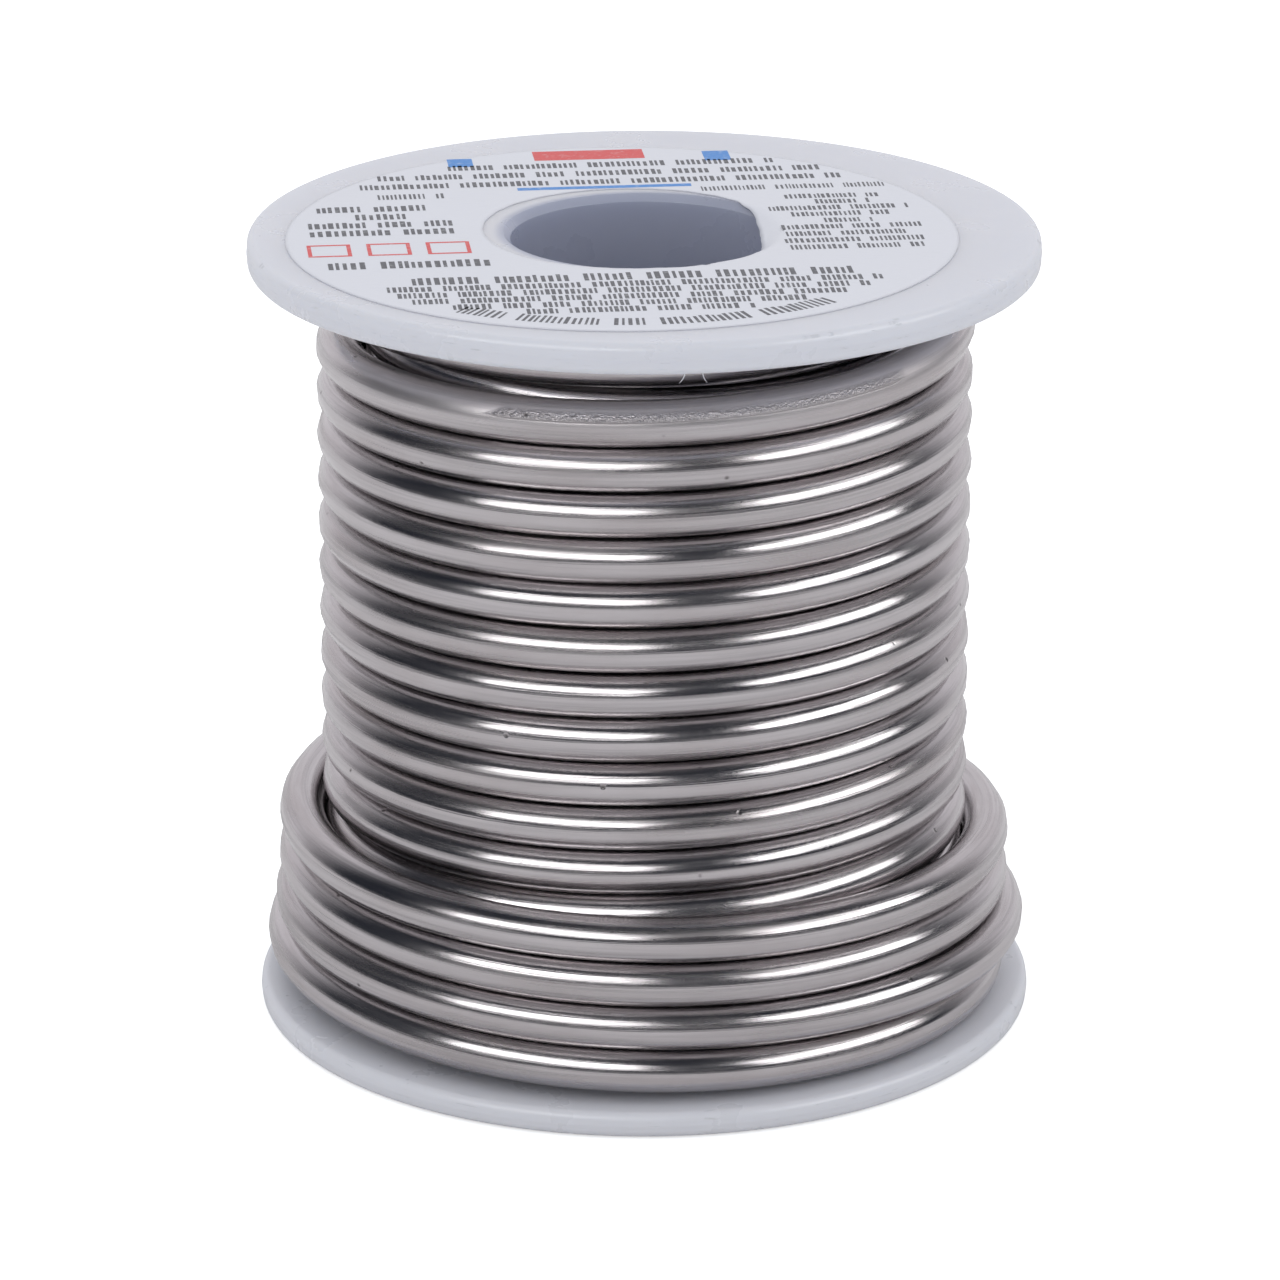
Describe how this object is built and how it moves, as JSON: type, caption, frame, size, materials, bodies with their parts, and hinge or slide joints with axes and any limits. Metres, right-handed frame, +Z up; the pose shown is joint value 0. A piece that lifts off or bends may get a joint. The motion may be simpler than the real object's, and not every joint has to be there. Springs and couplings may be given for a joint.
{
  "type": "solder wire spool",
  "caption": "Small flanged plastic spool wound with thick flux-cored solder wire, with paper labels and a through bore for a spindle.",
  "frame": {"origin": "centre of the underside, on the spool's axis, at the surface it stands on", "axes": "+Z up along the spool's axis, -Y towards the front, +X to the right"},
  "size_m": [0.0552, 0.0553, 0.0567],
  "materials": {
    "spool_plastic": "milky translucent polypropylene, satin, lightly scuffed",
    "label_paper": "coated white paper, satin",
    "solder_alloy": "bright drawn tin-lead alloy with fine lengthwise marks",
    "rosin_flux": "clear amber rosin"
  },
  "bodies": {
    "root": {"spool": "spool_plastic", "upper_label": "label_paper", "lower_label": "label_paper", "solder_layer_1": "solder_alloy", "solder_layer_2": "solder_alloy", "solder_layer_3": "solder_alloy", "solder_layer_4": "solder_alloy", "solder_layer_5": "solder_alloy", "flux_core_1": "rosin_flux", "flux_core_2": "rosin_flux", "flux_core_3": "rosin_flux", "flux_core_4": "rosin_flux", "flux_core_5": "rosin_flux"}
  },
  "joints": []
}
